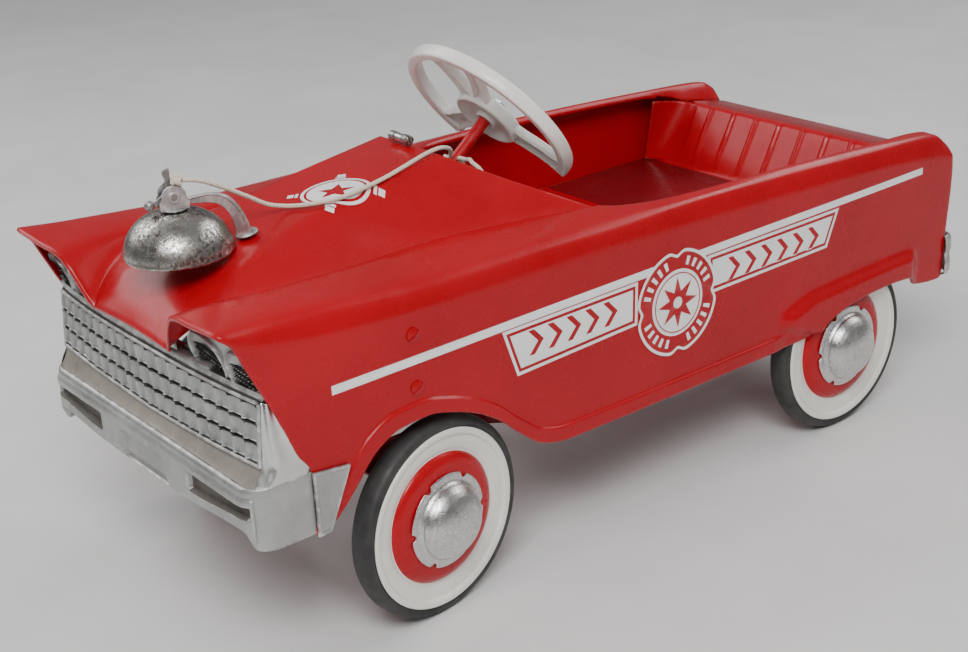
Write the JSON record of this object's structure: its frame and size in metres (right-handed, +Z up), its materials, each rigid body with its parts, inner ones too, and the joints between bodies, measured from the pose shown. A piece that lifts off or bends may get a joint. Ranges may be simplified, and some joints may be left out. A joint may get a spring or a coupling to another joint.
{
  "type": "pedal car",
  "caption": "Child's pressed-steel pedal car with a bell on the hood, steered front wheels, a cranked rear axle and hanging pedal rods.",
  "frame": {"origin": "on the floor under the middle of the bounding box", "axes": "+Y towards the tail, so the car faces -Y; +X towards its left side; +Z up"},
  "size_m": [0.419, 0.9239, 0.464],
  "materials": {
    "red_paint": "gloss enamel, worn",
    "dark_red_paint": "satin",
    "silver_paint": "satin silver",
    "white_plastic": "satin",
    "pedal_rubber": "matt",
    "tyre_rubber": "matt",
    "chrome_plate": "polished, pitted",
    "bare_steel": "dull",
    "cream_cotton": "braided"
  },
  "bodies": {
    "chassis": {"body_shell": "red_paint", "seat_pan": "red_paint", "rear_panel": "red_paint", "front_panel": "silver_paint", "bumper_wing_left": "silver_paint", "bumper_wing_right": "silver_paint", "rear_bumper": "silver_paint", "side_screw_left_upper": "red_paint", "side_screw_left_lower": "red_paint", "side_screw_right_upper": "red_paint", "side_screw_right_lower": "red_paint", "dash_cap": "chrome_plate", "front_axle_beam": "dark_red_paint", "front_bracket_left": "dark_red_paint", "front_bracket_right": "dark_red_paint", "rail_left": "dark_red_paint", "rail_right": "dark_red_paint", "rear_hanger_left": "dark_red_paint", "rear_hanger_right": "dark_red_paint", "axle_bearing_left": "bare_steel", "axle_bearing_right": "bare_steel", "upper_cross_brace": "dark_red_paint", "lower_cross_brace": "dark_red_paint", "pedal_bracket_left": "dark_red_paint", "pedal_bracket_right": "dark_red_paint", "pedal_pivot_rod": "bare_steel", "bell_dome": "chrome_plate", "bell_bracket": "silver_paint", "bell_pin": "bare_steel", "bell_stud": "bare_steel", "bell_foot_screw": "bare_steel", "pull_cord": "cream_cotton", "cord_knot": "cream_cotton", "cord_end_knot": "cream_cotton"},
    "steering": {"steering_wheel": "white_plastic", "column_nut": "chrome_plate", "steering_shaft": "red_paint"},
    "tie_rod": {"tie_rod": "bare_steel"},
    "knuckle_left": {"knuckle_left": "dark_red_paint"},
    "knuckle_right": {"knuckle_right": "dark_red_paint"},
    "front_wheel_left": {"tyre_front_left": "tyre_rubber", "wheel_disc_front_left": "red_paint", "hub_cap_front_left": "chrome_plate"},
    "front_wheel_right": {"tyre_front_right": "tyre_rubber", "wheel_disc_front_right": "red_paint", "hub_cap_front_right": "chrome_plate"},
    "crank_axle": {"rear_axle": "bare_steel", "tyre_rear_left": "tyre_rubber", "wheel_disc_rear_left": "red_paint", "hub_cap_rear_left": "chrome_plate"},
    "rear_wheel_right": {"tyre_rear_right": "tyre_rubber", "wheel_disc_rear_right": "red_paint", "hub_cap_rear_right": "chrome_plate"},
    "pedal_rod_left": {"pedal_rod_left": "bare_steel"},
    "pedal_rod_right": {"pedal_rod_right": "bare_steel"},
    "pedal_left": {"pedal_left": "pedal_rubber"},
    "pedal_right": {"pedal_right": "pedal_rubber"},
    "pedal_hanger_left": {"pedal_hanger_left": "bare_steel"},
    "pedal_hanger_right": {"pedal_hanger_right": "bare_steel"},
    "bell_lever": {"bell_lever": "bare_steel"}
  },
  "joints": [
    {"name": "steering_turn", "type": "hinge", "parent": "chassis", "child": "steering", "pos_m": [0, -0.0498, 0.381], "axis": [0, 0.7826, 0.6225], "range_deg": [-42, 25]},
    {"name": "tie_rod_slide", "type": "slide", "parent": "chassis", "child": "tie_rod", "axis": [1, 0, 0], "range_m": [-0.017, 0.0284]},
    {"name": "knuckle_turn_left", "type": "hinge", "parent": "chassis", "child": "knuckle_left", "pos_m": [0.14, -0.26695, 0.095], "axis": [0, 0, 1], "range_deg": [-33.8, 20.2]},
    {"name": "knuckle_turn_right", "type": "hinge", "parent": "chassis", "child": "knuckle_right", "pos_m": [-0.14, -0.26695, 0.095], "axis": [0, 0, 1], "range_deg": [-33.8, 20.2]},
    {"name": "front_wheel_spin_left", "type": "hinge", "parent": "knuckle_left", "child": "front_wheel_left", "pos_m": [0.17072, -0.2628, 0.095], "axis": [0.991, 0.134, 0], "continuous": true},
    {"name": "front_wheel_spin_right", "type": "hinge", "parent": "knuckle_right", "child": "front_wheel_right", "pos_m": [-0.17072, -0.27111, 0.095], "axis": [0.991, 0.134, 0], "continuous": true},
    {"name": "crank_axle_turn", "type": "hinge", "parent": "chassis", "child": "crank_axle", "pos_m": [0, 0.2802, 0.095], "axis": [1, 0, 0], "continuous": true},
    {"name": "rear_wheel_spin_right", "type": "hinge", "parent": "crank_axle", "child": "rear_wheel_right", "pos_m": [-0.171, 0.2802, 0.095], "axis": [1, 0, 0], "continuous": true},
    {"name": "pedal_rod_swing_left", "type": "hinge", "parent": "crank_axle", "child": "pedal_rod_left", "pos_m": [0.062, 0.30839, 0.10526], "axis": [1, 0, 0], "continuous": true},
    {"name": "pedal_spin_left", "type": "hinge", "parent": "pedal_rod_left", "child": "pedal_left", "pos_m": [0.092, -0.03493, 0.11515], "axis": [1, 0, 0], "continuous": true},
    {"name": "pedal_hanger_swing_left", "type": "hinge", "parent": "chassis", "child": "pedal_hanger_left", "pos_m": [0.056, -0.1628, 0.245], "axis": [1, 0, 0], "range_deg": [-25.9, 1.1]},
    {"name": "pedal_rod_swing_right", "type": "hinge", "parent": "crank_axle", "child": "pedal_rod_right", "pos_m": [-0.062, 0.25201, 0.08474], "axis": [1, 0, 0], "continuous": true},
    {"name": "pedal_spin_right", "type": "hinge", "parent": "pedal_rod_right", "child": "pedal_right", "pos_m": [-0.092, -0.09055, 0.11045], "axis": [1, 0, 0], "continuous": true},
    {"name": "pedal_hanger_swing_right", "type": "hinge", "parent": "chassis", "child": "pedal_hanger_right", "pos_m": [-0.056, -0.1628, 0.245], "axis": [1, 0, 0], "range_deg": [-1.3, 25.7]},
    {"name": "bell_lever_pull", "type": "hinge", "parent": "chassis", "child": "bell_lever", "pos_m": [0.01, -0.3988, 0.3918], "axis": [-0.9596, 0.2813, 0], "range_deg": [0, 14], "stiffness_Nm_per_rad": 0.06, "springref_deg": -11.46}
  ],
  "couplings": [
    {"joint": "tie_rod_slide", "follows": "steering_turn", "m_per_rad": -0.0385},
    {"joint": "knuckle_turn_left", "follows": "steering_turn", "ratio": 0.8},
    {"joint": "knuckle_turn_right", "follows": "steering_turn", "ratio": 0.8},
    {"joint": "pedal_rod_swing_left", "follows": "crank_axle_turn", "ratio": -1},
    {"joint": "pedal_rod_swing_right", "follows": "crank_axle_turn", "ratio": -1}
  ]
}
